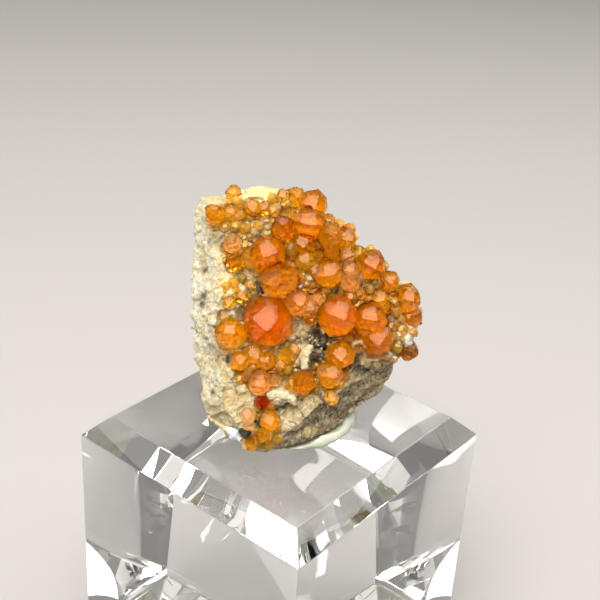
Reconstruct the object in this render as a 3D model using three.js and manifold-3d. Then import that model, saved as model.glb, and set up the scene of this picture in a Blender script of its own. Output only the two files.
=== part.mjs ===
/**
 * Garnet crystals on a piece of feldspar rock, held by a pad of tack on a clear bevelled display block.
 *
 * Units are millimetres and +Z is up. The origin is the middle of the block's underside, and the block's
 * sides are square to X and Y. The rock has a frame of its own: x to the right along its crystal face,
 * y into the rock and z up the face. Every crystal is given by its place on that face.
 */
import * as THREE from "three";
import { mergeVertices } from "three/addons/utils/BufferGeometryUtils.js";
import { ImprovedNoise } from "three/addons/math/ImprovedNoise.js";
import Module from "manifold-3d";

const wasm = await Module();
wasm.setup();

// ---------------------------------------------------------------- driving dimensions

const BLOCK_SIDE = 40;
const BLOCK_HEIGHT = 40;
const BLOCK_BEVEL = 3; // around the top face
const BLOCK_FOOT_BEVEL = 0.8; // around the underside

const FACE_TURN = 38.5; // degrees about +Z, from -Y, that the crystal face is turned on the block
const FACE_LEAN = 28; // degrees that the face leans back
const FACE_ROLL = 3.6; // degrees that the rock is rolled in its own face
const ROCK_PLACE = new THREE.Vector3(1.3, -1.1, BLOCK_HEIGHT + 19.4); // before the turn

const TACK_RADIUS = 9.2;
const TACK_HEIGHT = 4;
const TACK_PLACE = new THREE.Vector2(1.2, 0.8); // before the turn
const TACK_FIT = 1.025; // the rock's hollow in the tack, as a share of the rock's size
const TACK_AROUND = 24; // facets around the tack

const GAP = 0.3; // between pieces that touch
const ROCK_CENTRE = new THREE.Vector3(-0.5, 6.5, -2);
const ROCK_RELIEF = 0.5; // height of the rock's broken relief
const ROCK_AROUND = 48; // facets around the rock
const ROCK_STEPS = { face: 5, flank: 2, behind: 3, back: 3 }; // rings of facets over each part of it
const BROAD_RELIEF = 4.6; // width of the larger and the finer lumps of the relief
const FINE_RELIEF = 1.9;
const FINE_SHARE = 0.6;

const FACE_SCATTER = 0.16; // how unevenly a garnet's faces have grown, as a share of its radius
const SMALL_GARNET = 1.9; // below this radius a garnet is a plain dodecahedron
const GARNET_RISE = 0.28; // how far its middle stands out of the rock, as a share of its radius
const DODECAHEDRON_AT = { small: 0.88, large: 0.99 }; // distance of its faces, as a share of the radius
const TRAPEZOHEDRON_AT = 0.93;
const QUARTZ_RISE = 0.35;
const QUARTZ_POINT = 0.9; // length of a quartz crystal's point, as a share of its radius
const CHIP_DEPTH = 0.2; // how far a chip's middle stands out of the rock

// ---------------------------------------------------------------- the rock's outlines

// Three outlines around the rock, clockwise from its top left corner, each point as [x, z, y]:
// the rim of the crystal face, the widest girth behind it, and the edge of the broken back.
const RIM = [
  [-11.8, 12.9, 2.5], [-9.6, 13.4, 3.0], [-6.2, 14.2, 3.0], [-2.4, 13.8, 2.6],
  [1.4, 12.8, 2.5], [4.2, 10.6, 2.5], [6.9, 7.7, 3.0], [9.8, 4.4, 3.0],
  [12.4, 1.4, 3.4], [13.8, -2.0, 3.8], [13.6, -6.0, 4.0], [11.5, -8.4, 3.6],
  [7.6, -8.9, 2.4], [5.4, -11.6, 1.4], [2.8, -14.4, 0.8], [-1.2, -17.0, 0.4],
  [-5.0, -18.8, -0.4], [-7.6, -17.2, -0.4], [-10.0, -15.0, 0.0], [-10.2, -10.8, 0.0],
  [-10.8, -6.0, 0.2], [-11.2, -1.6, 0.4], [-11.2, 3.4, 0.8], [-12.0, 8.6, 1.6],
];
const GIRTH = [
  [-14.0, 14.5, 6.0], [-10.6, 14.2, 6.0], [-6.7, 15.7, 5.5], [-2.5, 15.1, 5.5],
  [1.5, 14.0, 5.5], [4.9, 11.4, 6.0], [7.9, 8.6, 6.5], [10.9, 5.0, 7.0],
  [13.4, 1.6, 7.5], [15.0, -2.2, 8.0], [14.9, -6.4, 8.0], [12.8, -9.8, 7.5],
  [11.2, -12.8, 7.5], [7.6, -15.4, 6.5], [4.6, -17.8, 5.0], [0.2, -19.4, 2.4],
  [-5.2, -20.3, 1.0], [-8.7, -18.3, 1.6], [-12.8, -16.4, 3.5], [-13.4, -11.6, 4.5],
  [-14.5, -6.6, 5.0], [-15.2, -2.3, 5.0], [-14.9, 3.7, 5.5], [-14.6, 9.4, 6.0],
];
const BACK = [
  [-11.0, 11.5, 12.0], [-8.5, 12.5, 13.0], [-5.5, 12.8, 13.0], [-2.0, 12.5, 13.5],
  [1.0, 11.5, 13.5], [3.5, 9.5, 13.0], [6.0, 6.8, 13.0], [8.2, 3.6, 12.5],
  [10.0, 0.8, 12.5], [11.3, -2.3, 12.5], [11.2, -5.6, 12.5], [9.6, -8.6, 12.5],
  [7.4, -10.6, 12.5], [4.8, -12.4, 12.5], [2.2, -13.8, 12.0], [-1.2, -14.4, 11.5],
  [-5.2, -14.8, 10.0], [-8.0, -13.6, 9.5], [-10.2, -11.4, 10.0], [-11.0, -8.4, 11.0],
  [-11.6, -4.0, 11.5], [-12.0, 0.0, 12.0], [-11.8, 4.0, 12.5], [-11.6, 8.4, 12.5],
];
const FRONT_MIDDLE = new THREE.Vector3(-0.8, 0.9, -1.5);
const BACK_MIDDLE = new THREE.Vector3(-1.0, 15.2, -1.0);

// ---------------------------------------------------------------- finishes

const FINISHES = {
  rock: { color: 0xe4dcc2, roughness: 0.9 },
  garnet_deep: { color: 0xd8500c, roughness: 0.12 },
  garnet_amber: { color: 0xe88a18, roughness: 0.12 },
  garnet_pale: { color: 0xe9ab78, roughness: 0.18 },
  quartz_smoky: { color: 0x7d6a5c, roughness: 0.15 },
  feldspar_plate: { color: 0xf0e6d2, roughness: 0.7 },
  black_mineral: { color: 0x14120f, roughness: 0.25 },
  tack: { color: 0xdfe4d6, roughness: 0.55 },
  acrylic: { color: 0xeef3f2, roughness: 0.04 },
};

// ---------------------------------------------------------------- the garnets

// One entry for each garnet, or for each group of garnets that have grown into one another. A crystal is
// [x, z, radius, lead x, lead z, spin]: its middle on the crystal face, its size, and how the face that
// meets the eye first is tipped, sideways and upwards, and turned, in degrees.
const GARNETS = {
  garnet_great: ["garnet_deep", [-4.25, -2.75, 3.25, -0.24, 0.2, 12]],
  garnet_upper_left: ["garnet_deep", [-4.3, 6, 2.6, 0.22, 0.36, 75], [-6.4, 5.7, 1.4, -0.2, 0.5, 20]],
  garnet_rounded: ["garnet_amber", [-2.7, 2.7, 2.5, -0.45, 0.2, 40]],
  garnet_neck: ["garnet_amber", [-2.1, 9.5, 1.75, 0.35, 0.2, 10]],
  garnet_crown: [
    "garnet_deep",
    [1.75, 13, 2, -0.1, 0.15, 30], [-0.6, 13.9, 1.4, 0.1, 0.5, 0], [-2.3, 14, 0.95, 0, 0.4, 50],
  ],
  garnet_upper_mass: ["garnet_deep", [1.1, 10.2, 2.25, 0.12, 0.32, 48], [-1.3, 11.2, 1.2, 0.3, 0.1, 70]],
  garnet_upper_right: [
    "garnet_deep",
    [4, 8.7, 1.85, 0.1, 0.5, 15], [6.1, 8.3, 1.6, 0.05, 0.3, 60], [4.3, 6.2, 1.5, 0.3, 0.2, 33],
  ],
  garnet_middle: [
    "garnet_deep",
    [0.6, 7.5, 1.6, -0.2, 0.3, 5], [0.8, 5.3, 1.3, -0.15, 0.35, 42], [2.5, 6.2, 1, 0.2, 0.2, 9],
  ],
  garnet_wedge: ["garnet_deep", [3.8, 3.6, 1.95, 0.2, 0.42, 64], [2, 4, 1, 0.0, 0.3, 22]],
  garnet_spine: ["garnet_pale", [6.8, 2.4, 1.45, 0.3, 0.3, 5], [6.7, 4.1, 1.2, -0.1, 0.3, 66]],
  garnet_shoulder_right: ["garnet_deep", [9.5, 4.8, 2, 0.1, 0.12, 20], [8, 6.4, 1, -0.2, 0.4, 51]],
  garnet_pane: ["garnet_pale", [6.4, 6.2, 1.15, 0.0, 0.1, 30]],
  garnet_slope: ["garnet_amber", [12.1, 2.5, 1.45, 0.2, 0.4, 14]],
  garnet_edge_pair: ["garnet_deep", [14.6, 0.2, 2, 0.3, 0.4, 35], [15.3, -2.2, 1.7, 0.2, 0.5, 80]],
  garnet_edge_low: ["garnet_amber", [15.1, -7, 1.35, 0.1, 0.4, 25], [14.8, -5.3, 0.95, 0.2, 0.2, 12]],
  garnet_right_pair: ["garnet_deep", [9.4, -2.6, 2.35, 0.0, 0.48, 45], [10.4, -5.3, 2.15, 0.18, 0.34, 8]],
  garnet_ball: ["garnet_deep", [5, -2, 2.75, 0.14, 0.36, 28]],
  garnet_pale_group: [
    "garnet_pale",
    [-0.2, -0.3, 1.85, 0.1, 0.3, 18], [1.2, -1, 1.3, -0.1, 0.2, 63], [2.2, 0.5, 1.15, 0.2, 0.2, 36],
  ],
  garnet_saddle: ["garnet_amber", [1.5, -2.5, 0.9, 0.1, 0.4, 44]],
  garnet_lower_right: ["garnet_deep", [5.4, -7.3, 1.95, -0.1, 0.24, 16]],
  garnet_lower: ["garnet_deep", [4, -9.8, 1.85, 0.1, 0.3, 57]],
  garnet_lower_middle: ["garnet_amber", [0.4, -10.9, 1.65, -0.3, 0.1, 29], [-1, -11.1, 0.95, 0.1, 0.3, 71]],
  garnet_bead: ["garnet_amber", [4.2, -13, 0.95, 0.0, 0.2, 0]],
  garnet_left: ["garnet_deep", [-9.1, -4.4, 2.05, -0.16, 0.5, 38]],
  garnet_seed_a: ["garnet_amber", [-10, -2.1, 0.8, 0.0, 0.3, 15]],
  garnet_seed_b: ["garnet_amber", [-9.3, -0.3, 0.9, 0.0, 0.2, 48]],
  garnet_seed_c: ["garnet_amber", [-7.7, 0.5, 0.85, 0.1, 0.3, 70]],
  garnet_seed_d: ["garnet_amber", [-6.6, 2.1, 0.7, 0.0, 0.1, 27]],
  garnet_honey: ["garnet_amber", [-8.7, 5, 1.15, 0.2, 0.3, 19]],
  garnet_veil: ["garnet_pale", [-9, 7.5, 1.35, -0.1, 0.1, 55]],
  garnet_corner: ["garnet_amber", [-11.4, 11.5, 1.45, -0.4, 0.1, 12]],
  garnet_shoulder_left: ["garnet_amber", [-9.4, 11.8, 1.2, 0.1, 0.3, 31], [-8.1, 11.6, 0.9, 0.1, 0.1, 7]],
  garnet_ridge: ["garnet_amber", [-6.3, 12.4, 1.15, 0.0, 0.2, 61], [-4.8, 12.4, 0.95, 0.1, 0.3, 24]],
  garnet_peak_left: ["garnet_amber", [-9, 14.5, 1.2, 0.0, 0.3, 41]],
  garnet_under_great: [
    "garnet_amber",
    [-7.9, -8, 1.35, 0.1, 0.3, 13], [-6.1, -7.3, 1.15, 0.1, 0.4, 66], [-4.5, -8, 1.35, -0.05, 0.35, 35],
  ],
  garnet_lower_left: ["garnet_pale", [-5.3, -10.8, 1.7, 0.0, 0.25, 50], [-3.5, -10.3, 1.1, 0.1, 0.2, 5]],
  garnet_crumbs: [
    "garnet_amber",
    [-1.9, -7.4, 1.05, 0.1, 0.2, 17], [-0.8, -6.5, 0.8, 0.1, 0.3, 46], [-2.5, -8.6, 0.75, 0.0, 0.2, 74],
  ],
  garnet_foot_left: ["garnet_pale", [-6.8, -15.1, 1.05, -0.1, 0.3, 33], [-6.7, -16.5, 0.8, 0.1, 0.2, 58]],
  garnet_foot_right: ["garnet_amber", [-3.9, -15.9, 1.45, -0.1, 0.3, 21], [-4.6, -17.6, 1.05, 0.1, 0.1, 69]],
  garnet_toe: ["garnet_amber", [-6.6, -18.9, 1.1, 0.0, 0.1, 39]],
  garnet_ember: ["garnet_deep", [-4.9, -13.4, 0.95, 0.0, 0.1, 53]],
  garnet_glint: ["garnet_amber", [8.2, 1.1, 1, 0.1, 0.3, 26]],
  garnet_sunny: ["garnet_amber", [10.9, 0.3, 1.1, 0.0, 0.2, 11], [11.9, -0.9, 1, 0.1, 0.3, 60]],
};

// Quartz crystals between the garnets: [x, z, radius, length, lean sideways, lean upwards], in degrees.
const QUARTZ = {
  quartz_smoky_left: ["quartz_smoky", [-8.1, -1.5, 0.95, 2.9, 62, 10]],
  quartz_blade: ["garnet_pale", [7.8, -6.5, 0.75, 3.4, 8, -12]],
  quartz_smoky_upper: ["quartz_smoky", [2.3, -4.3, 0.7, 2.0, 40, -15]],
  quartz_smoky_lower: ["quartz_smoky", [1.9, -7.4, 0.65, 2.2, -25, -10]],
  quartz_stub: ["garnet_pale", [11.6, -7.9, 0.85, 2.4, 75, -8]],
};

// Two curved flakes of feldspar that stand on the rock.
const FLAKES = {
  flake_shell: { x: -2.8, z: -12.9, width: 4.4, rise: 0.8, thick: 0.7, deep: 1.7, turn: 4 },
  flake_upright: { x: 0.7, z: -7.6, width: 3.0, rise: 0.25, thick: 0.6, deep: 1.8, turn: -78 },
};

// A grain of black mineral and the pale chip beside it, at the rock's lowest corner.
const CHIPS = {
  black_grain: ["black_mineral", { x: -7.2, z: -17.5, size: [1.0, 0.9, 0.8], turn: 20 }],
  pale_chip: ["feldspar_plate", { x: -8.7, z: -17.9, size: [1.5, 0.6, 0.7], turn: 40 }],
};

// ---------------------------------------------------------------- helpers

/** A closed geometry as a solid that can be joined and cut. */
function solidOf(geometry) {
  const bare = geometry.clone();
  bare.deleteAttribute("normal");
  bare.deleteAttribute("uv");
  const merged = mergeVertices(bare, 1e-4);
  return new wasm.Manifold(
    new wasm.Mesh({
      numProp: 3,
      vertProperties: merged.attributes.position.array,
      triVerts: new Uint32Array(merged.index.array),
    }),
  );
}

/** A solid as a geometry with flat faces. */
function geometryOf(solid) {
  const mesh = solid.getMesh();
  const geometry = new THREE.BufferGeometry();
  geometry.setAttribute("position", new THREE.BufferAttribute(mesh.vertProperties, 3));
  geometry.setIndex(new THREE.BufferAttribute(mesh.triVerts, 1));
  const flat = geometry.toNonIndexed();
  flat.computeVertexNormals();
  return flat;
}

/** The largest of the bodies that a cut has left. */
function largestBody(solid) {
  return solid.decompose().reduce((a, b) => (a.volume() > b.volume() ? a : b));
}

/** A named mesh whose geometry is centred on its place. */
function pieceAt(name, geometry, finish, place) {
  geometry.translate(-place.x, -place.y, -place.z);
  const material = new THREE.MeshStandardMaterial({ ...FINISHES[finish], metalness: 0, flatShading: true });
  const mesh = new THREE.Mesh(geometry, material);
  mesh.name = name;
  mesh.position.copy(place);
  return mesh;
}

/** A repeatable stream of numbers from 0 to 1. */
function randomFrom(seed) {
  let state = Math.floor(seed * 1000) % 2147483647;
  return () => {
    state = (state * 48271 + 11) % 2147483647;
    return state / 2147483647;
  };
}

const degrees = THREE.MathUtils.degToRad;

// ---------------------------------------------------------------- the display block

/** A square block with bevelled edges around its top and a small bevel around its foot. */
function blockGeometry() {
  const ring = (inset, z) => {
    const half = BLOCK_SIDE / 2 - inset;
    return [[-half, -half, z], [half, -half, z], [half, half, z], [-half, half, z]];
  };
  const rings = [
    ring(BLOCK_FOOT_BEVEL, 0),
    ring(0, BLOCK_FOOT_BEVEL),
    ring(0, BLOCK_HEIGHT - BLOCK_BEVEL),
    ring(BLOCK_BEVEL, BLOCK_HEIGHT),
  ];
  const index = [0, 3, 2, 0, 2, 1];
  for (let level = 0; level < rings.length - 1; level += 1) {
    for (let side = 0; side < 4; side += 1) {
      const low = level * 4 + side;
      const lowNext = level * 4 + ((side + 1) % 4);
      index.push(low, lowNext, lowNext + 4, low, lowNext + 4, low + 4);
    }
  }
  const top = (rings.length - 1) * 4;
  index.push(top, top + 1, top + 2, top, top + 2, top + 3);
  const geometry = new THREE.BufferGeometry();
  geometry.setAttribute("position", new THREE.Float32BufferAttribute(rings.flat(2), 3));
  geometry.setIndex(index);
  return geometry;
}

// ---------------------------------------------------------------- the rock

/** The points of a smooth closed outline, spaced so that all outlines match. */
function outline(points) {
  const corners = points.map(([x, z, y]) => new THREE.Vector3(x, y, z));
  const curve = new THREE.CatmullRomCurve3(corners, true, "centripetal");
  return curve.getPoints(ROCK_AROUND).slice(0, ROCK_AROUND);
}

/** The whole rock before the crystals are let into it. */
function rockSolid() {
  const sections = [
    { to: outline(RIM), steps: ROCK_STEPS.face },
    { to: outline(GIRTH), steps: ROCK_STEPS.flank },
    { to: outline(BACK), steps: ROCK_STEPS.behind },
  ];
  const noise = new ImprovedNoise();
  const rough = (point) => {
    const out = point.clone().sub(ROCK_CENTRE).normalize();
    const broad = noise.noise(point.x / BROAD_RELIEF, point.y / BROAD_RELIEF, point.z / BROAD_RELIEF);
    const fine = noise.noise(point.x / FINE_RELIEF + 7, point.y / FINE_RELIEF, point.z / FINE_RELIEF);
    return point.clone().addScaledVector(out, ROCK_RELIEF * (broad + FINE_SHARE * fine));
  };
  const rings = [];
  let from = Array(ROCK_AROUND).fill(FRONT_MIDDLE);
  for (const { to, steps } of sections) {
    for (let step = 1; step <= steps; step += 1) {
      rings.push(to.map((end, i) => rough(from[i].clone().lerp(end, step / steps))));
    }
    from = to;
  }
  for (let step = 1; step < ROCK_STEPS.back; step += 1) {
    rings.push(from.map((start) => rough(start.clone().lerp(BACK_MIDDLE, step / ROCK_STEPS.back))));
  }
  const points = [rough(FRONT_MIDDLE), ...rings.flat(), rough(BACK_MIDDLE)];
  const last = points.length - 1;
  const index = [];
  for (let i = 0; i < ROCK_AROUND; i += 1) {
    const next = (i + 1) % ROCK_AROUND;
    index.push(0, 1 + next, 1 + i);
    for (let ring = 0; ring < rings.length - 1; ring += 1) {
      const near = 1 + ring * ROCK_AROUND;
      const far = near + ROCK_AROUND;
      index.push(near + i, far + next, far + i, near + i, near + next, far + next);
    }
    const end = 1 + (rings.length - 1) * ROCK_AROUND;
    index.push(end + i, end + next, last);
  }
  const geometry = new THREE.BufferGeometry().setFromPoints(points);
  geometry.setIndex(index);
  return solidOf(geometry);
}

/** A function that gives the depth of the rock's surface at a place on its face. */
function depthFinder(rock) {
  const mesh = new THREE.Mesh(geometryOf(rock), new THREE.MeshBasicMaterial({ side: THREE.DoubleSide }));
  const ray = new THREE.Raycaster();
  const inward = new THREE.Vector3(0, 1, 0);
  return (x, z) => {
    const start = new THREE.Vector3(x, -20, z);
    const middle = new THREE.Vector3(ROCK_CENTRE.x, -20, ROCK_CENTRE.z);
    for (;;) {
      ray.set(start, inward);
      const [hit] = ray.intersectObject(mesh);
      if (hit) return hit.point.y;
      start.lerp(middle, 0.03); // a crystal past the edge takes the depth of the nearest rock
    }
  };
}

// ---------------------------------------------------------------- crystals

/** The outward directions of the faces of a crystal form, such as (2 1 1), with all its cubic copies. */
function faceDirections(a, b, c) {
  const found = new Map();
  for (const [x, y, z] of [[a, b, c], [b, a, c], [b, c, a], [c, b, a], [a, c, b], [c, a, b]]) {
    for (const [sx, sy, sz] of [[1, 1, 1], [1, 1, -1], [1, -1, 1], [1, -1, -1],
      [-1, 1, 1], [-1, 1, -1], [-1, -1, 1], [-1, -1, -1]]) {
      const way = new THREE.Vector3(x * sx, y * sy, z * sz);
      found.set(way.toArray().map((n) => n + 0).join(), way.normalize());
    }
  }
  return [...found.values()];
}

const TRAPEZOHEDRON = faceDirections(2, 1, 1);
const DODECAHEDRON = faceDirections(1, 1, 0);

/**
 * A block trimmed by the faces of a garnet. grown moves every face outwards, and leaves only the twelve
 * faces of the dodecahedron, which is all that a hollow for the crystal needs.
 */
function garnetSolid([x, z, radius, leadX, leadZ, spin], depth, grown = 0) {
  const middle = new THREE.Vector3(x, depth - GARNET_RISE * radius, z);
  const small = radius < SMALL_GARNET;
  const leadFace = (small ? DODECAHEDRON : TRAPEZOHEDRON)[0];
  const lead = new THREE.Vector3(leadX, -Math.sqrt(1 - leadX ** 2 - leadZ ** 2), leadZ);
  const turn = new THREE.Quaternion()
    .setFromAxisAngle(lead, degrees(spin))
    .multiply(new THREE.Quaternion().setFromUnitVectors(leadFace, lead));
  const random = randomFrom(100 + 7 * x + 3 * z + spin);
  const blank = new THREE.BoxGeometry(4 * radius, 4 * radius, 4 * radius);
  let solid = solidOf(blank.translate(middle.x, middle.y, middle.z));
  const trim = (way, distance) => {
    const out = way.clone().applyQuaternion(turn);
    const offset = distance + grown + out.dot(middle);
    solid = solid.trimByPlane(out.clone().negate().toArray(), -offset);
  };
  const uneven = () => FACE_SCATTER * (random() - 0.5);
  const dodecahedronAt = small ? DODECAHEDRON_AT.small : DODECAHEDRON_AT.large;
  for (const way of DODECAHEDRON) trim(way, radius * (dodecahedronAt + uneven()));
  if (!small && grown === 0) {
    for (const way of TRAPEZOHEDRON) trim(way, radius * (TRAPEZOHEDRON_AT + uneven()));
  }
  return solid;
}

/** A six-sided quartz crystal with a point at each end. */
function quartzSolid([x, z, radius, length, sideways, upwards], depth, grown = 0) {
  const wide = radius + grown;
  const end = length / 2 + grown;
  const shoulder = end - QUARTZ_POINT * wide;
  const profile = [[0, -end], [wide, -shoulder], [wide, shoulder], [0, end]];
  const geometry = new THREE.LatheGeometry(profile.map(([r, y]) => new THREE.Vector2(r, y)), 6);
  geometry.rotateZ(degrees(sideways));
  geometry.rotateX(degrees(upwards));
  geometry.translate(x, depth - QUARTZ_RISE * radius, z);
  return solidOf(geometry);
}

/** A curved flake of feldspar: a crescent with rounded ends, standing on the rock. */
function flakeSolid({ x, z, width, rise, thick, deep, turn }, depth, grown = 0) {
  const half = width / 2 + grown;
  const top = grown;
  const foot = -thick - grown;
  const shape = new THREE.Shape();
  shape.moveTo(-half, top);
  shape.quadraticCurveTo(0, top + 2 * rise, half, top);
  shape.lineTo(half, foot);
  shape.quadraticCurveTo(0, foot + 2 * rise, -half, foot);
  shape.closePath();
  const extent = deep + 2 * grown;
  const geometry = new THREE.ExtrudeGeometry(shape, { depth: extent, bevelEnabled: false, curveSegments: 8 });
  geometry.translate(0, 0, -extent / 2);
  geometry.rotateX(degrees(90));
  geometry.rotateY(degrees(turn));
  geometry.translate(x, depth, z);
  return solidOf(geometry);
}

/** A splintered chip with eight faces. */
function chipSolid({ x, z, size, turn }, depth, grown = 0) {
  const geometry = new THREE.OctahedronGeometry(1, 0);
  geometry.scale(size[0] + grown, size[1] + grown, size[2] + grown);
  geometry.rotateY(degrees(turn));
  geometry.translate(x, depth - CHIP_DEPTH, z);
  return solidOf(geometry);
}

// ---------------------------------------------------------------- putting it together

/** All the crystals: each one's solid, and the hollow that the rock leaves for it. */
function growCrystals(depthAt) {
  const crystals = [];
  const add = (name, finish, rows, make, placeOf) => {
    const grow = (extra) => rows.map((row) => {
      const [x, z] = placeOf(row);
      return make(row, depthAt(x, z), extra);
    });
    const join = (solids) => solids.reduce((a, b) => a.add(b));
    const [x, z] = placeOf(rows[0]);
    const place = new THREE.Vector3(x, depthAt(x, z), z);
    crystals.push({ name, finish, place, solid: join(grow(0)), hollow: join(grow(GAP)) });
  };
  const firstTwo = ([x, z]) => [x, z];
  const named = ({ x, z }) => [x, z];
  for (const [name, [finish, ...rows]] of Object.entries(GARNETS)) {
    add(name, finish, rows, garnetSolid, firstTwo);
  }
  for (const [name, [finish, row]] of Object.entries(QUARTZ)) add(name, finish, [row], quartzSolid, firstTwo);
  for (const [name, flake] of Object.entries(FLAKES)) add(name, "feldspar_plate", [flake], flakeSolid, named);
  for (const [name, [finish, chip]] of Object.entries(CHIPS)) add(name, finish, [chip], chipSolid, named);
  return crystals;
}

/** The specimen: the rock and its crystals, in the rock's own frame. */
function buildSpecimen() {
  const specimen = new THREE.Group();
  const rock = rockSolid();
  const crystals = growCrystals(depthFinder(rock));
  let hollowed = rock;
  crystals.forEach((crystal, i) => {
    // A crystal that meets one listed before it stops short of it.
    const before = crystals.slice(0, i).filter((other) => crystal.solid.intersect(other.hollow).volume() > 0);
    const free = before.reduce((solid, other) => solid.subtract(other.hollow), crystal.solid);
    specimen.add(pieceAt(crystal.name, geometryOf(largestBody(free)), crystal.finish, crystal.place));
    hollowed = hollowed.subtract(crystal.hollow);
  });
  specimen.add(pieceAt("rock", geometryOf(largestBody(hollowed)), "rock", ROCK_CENTRE));
  specimen.rotation.set(degrees(-FACE_LEAN), degrees(-FACE_ROLL), 0);
  specimen.position.copy(ROCK_PLACE);
  return { specimen, rock };
}

/** The pad of tack, pressed out under the rock and hollowed where the rock sinks into it. */
function buildTack(rock, specimen) {
  const rim = [[0.95, 0], [1, 0.12], [0.99, 0.3], [0.93, 0.48], [0.8, 0.66], [0.55, 0.86]];
  const profile = [[0, 0], ...rim, [0, 1]];
  const pad = new THREE.LatheGeometry(
    profile.map(([r, z]) => new THREE.Vector2(r * TACK_RADIUS, z * TACK_HEIGHT)),
    TACK_AROUND,
  );
  pad.rotateX(degrees(90));
  pad.translate(TACK_PLACE.x, TACK_PLACE.y, BLOCK_HEIGHT + GAP);
  specimen.updateMatrix();
  const pressed = geometryOf(rock);
  pressed.translate(-ROCK_CENTRE.x, -ROCK_CENTRE.y, -ROCK_CENTRE.z);
  pressed.scale(TACK_FIT, TACK_FIT, TACK_FIT);
  pressed.translate(ROCK_CENTRE.x, ROCK_CENTRE.y, ROCK_CENTRE.z);
  pressed.applyMatrix4(specimen.matrix);
  const solid = largestBody(solidOf(pad).subtract(solidOf(pressed)));
  const place = new THREE.Vector3(TACK_PLACE.x, TACK_PLACE.y, BLOCK_HEIGHT);
  return pieceAt("tack", geometryOf(solid), "tack", place);
}

const { specimen, rock } = buildSpecimen();
const turned = new THREE.Group();
turned.add(specimen, buildTack(rock, specimen));
turned.rotation.z = degrees(FACE_TURN);

const part = new THREE.Group();
part.add(turned, pieceAt("block", blockGeometry(), "acrylic", new THREE.Vector3()));

export default part;
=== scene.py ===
"""Garnet crystals on a wedge of feldspar, held by a pad of putty on a clear display block."""

import math
import random
from itertools import permutations, product

import bpy
from bpy.props import FloatProperty, FloatVectorProperty, PointerProperty
from bpy.types import Operator, Panel, PropertyGroup
from mathutils import Matrix, Quaternion, Vector, noise
from mathutils.bvhtree import BVHTree


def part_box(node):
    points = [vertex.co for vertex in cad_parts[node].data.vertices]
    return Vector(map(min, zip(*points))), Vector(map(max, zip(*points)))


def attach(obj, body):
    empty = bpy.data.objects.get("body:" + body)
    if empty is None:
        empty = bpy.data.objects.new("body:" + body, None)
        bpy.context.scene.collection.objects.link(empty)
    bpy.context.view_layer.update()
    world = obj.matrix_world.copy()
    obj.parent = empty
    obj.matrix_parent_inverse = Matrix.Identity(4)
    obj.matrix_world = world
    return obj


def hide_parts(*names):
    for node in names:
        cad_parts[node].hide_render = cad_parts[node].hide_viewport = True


bl_info = {
    "name": "Garnet Specimen",
    "version": (1, 0, 0),
    "blender": (4, 5, 0),
    "location": "3D View > Sidebar > Garnet Specimen",
    "description": "Models a garnet specimen on its display block and sets it on a stage",
    "category": "Object",
}

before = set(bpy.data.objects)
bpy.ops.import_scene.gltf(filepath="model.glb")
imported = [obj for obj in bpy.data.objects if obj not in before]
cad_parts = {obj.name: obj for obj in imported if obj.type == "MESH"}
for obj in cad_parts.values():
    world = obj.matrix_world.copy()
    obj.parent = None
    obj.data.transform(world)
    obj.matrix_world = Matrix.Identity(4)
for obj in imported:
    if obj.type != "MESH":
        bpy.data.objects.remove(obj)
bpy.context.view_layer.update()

MM = 0.001
GAP = 0.3 * MM  # between CAD nodes that touch in the real thing

# ------------------------ the rock's own frame

FACE_TURN = 38.5  # degrees about +Z that the crystal face is turned on the block
FACE_LEAN = 28.0  # degrees that the face leans back
FACE_ROLL = 3.6  # degrees that the rock is rolled in its own face
BLOCK_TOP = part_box("block")[1].z / MM
ROCK_PLACE = Vector((1.3, -1.1, BLOCK_TOP + 19.4))

# From the rock's frame to the block's: x to the right along the crystal face, y into the rock, z up the face.
FACE_TO_BLOCK = (
    Matrix.Rotation(math.radians(FACE_TURN), 4, "Z")
    @ Matrix.Translation(ROCK_PLACE * MM)
    @ Matrix.Rotation(math.radians(-FACE_LEAN), 4, "X")
    @ Matrix.Rotation(math.radians(-FACE_ROLL), 4, "Y")
)
BLOCK_TO_FACE = FACE_TO_BLOCK.inverted()

# ------------------------ the crystals

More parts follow.
